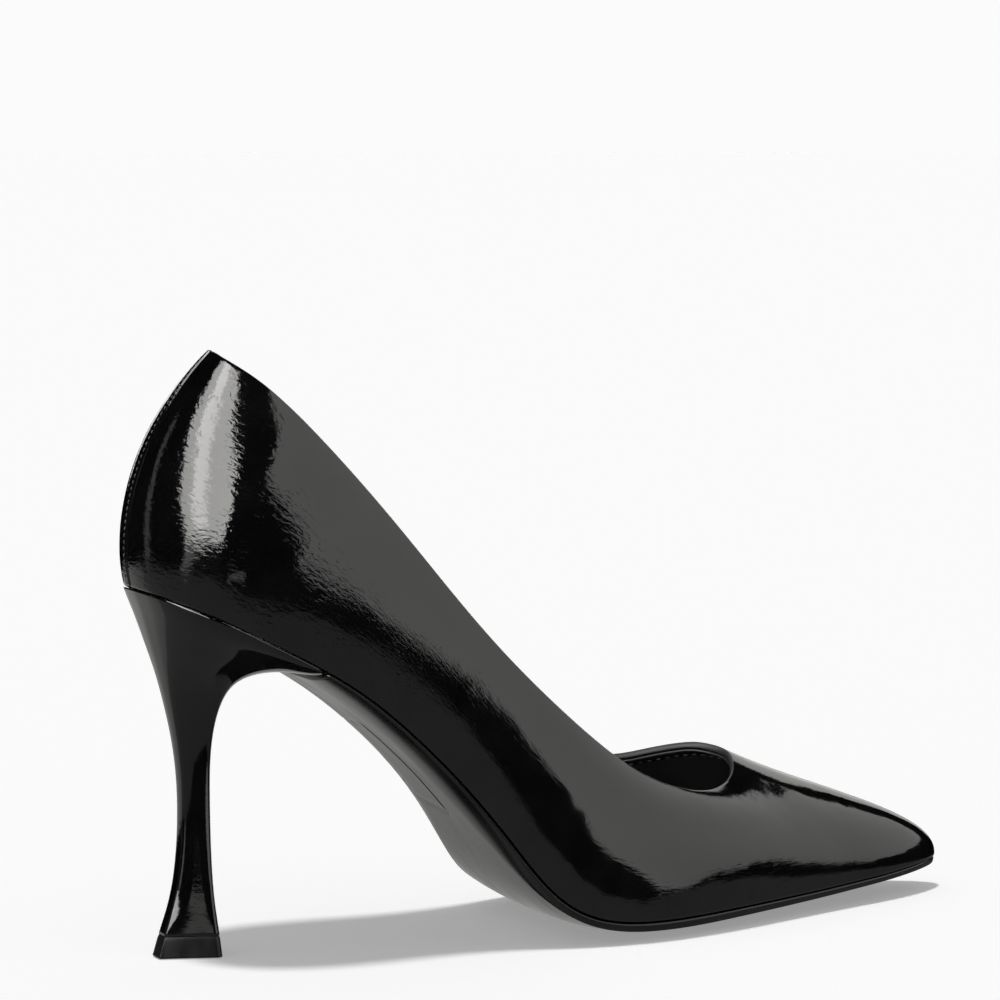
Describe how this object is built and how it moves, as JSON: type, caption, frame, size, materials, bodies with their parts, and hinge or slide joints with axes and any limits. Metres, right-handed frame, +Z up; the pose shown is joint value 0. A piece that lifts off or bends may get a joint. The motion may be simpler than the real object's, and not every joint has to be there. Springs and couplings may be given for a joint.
{
  "type": "high heel pump",
  "caption": "Closed pointed-toe high heel pump in black crinkled patent, with a low rounded topline and a slender flared covered heel.",
  "frame": {"origin": "centre of the shoe's bounding box, on the floor it stands on", "axes": "+X from heel to toe, +Y to the wearer's inner side of this right shoe, +Z up"},
  "size_m": [0.2344, 0.0733, 0.1525],
  "materials": {
    "patent": "crinkled black patent",
    "interlining": "woven cotton",
    "stiffener": "matt",
    "tape": "woven",
    "thread": "twisted",
    "lining_cloth": "fine weave",
    "lining": "matt grain",
    "suede": "suede",
    "board": "pressed fibre",
    "shank_steel": "rolled",
    "rivet_steel": "plated",
    "cork": "granulated cork",
    "foam": "open foam",
    "sock": "matt grain",
    "sole": "satin",
    "heel_abs": "moulded",
    "tube_steel": "rolled",
    "lift_rubber": "moulded, semi-matt"
  },
  "bodies": {
    "root": {"upper": "patent", "upper_interlining": "interlining", "toe_puff": "stiffener", "heel_counter": "stiffener", "topline_tape": "tape", "topline_facing": "patent", "topline_stitching": "thread", "back_seam_stitching": "thread", "vamp_lining": "lining_cloth", "quarter_lining_outer": "lining", "quarter_lining_inner": "lining", "heel_grip": "suede", "insole_board": "board", "shank_board": "board", "steel_shank": "shank_steel", "shank_rivets": "rivet_steel", "bottom_filler": "cork", "forefoot_pad": "foam", "heel_pad": "foam", "sock_lining": "sock", "outsole": "sole", "heel_block": "heel_abs", "heel_cover": "patent", "heel_tube": "tube_steel", "heel_screw": "rivet_steel", "heel_nails": "rivet_steel", "top_lift": "lift_rubber", "top_lift_pin": "tube_steel"}
  },
  "joints": []
}
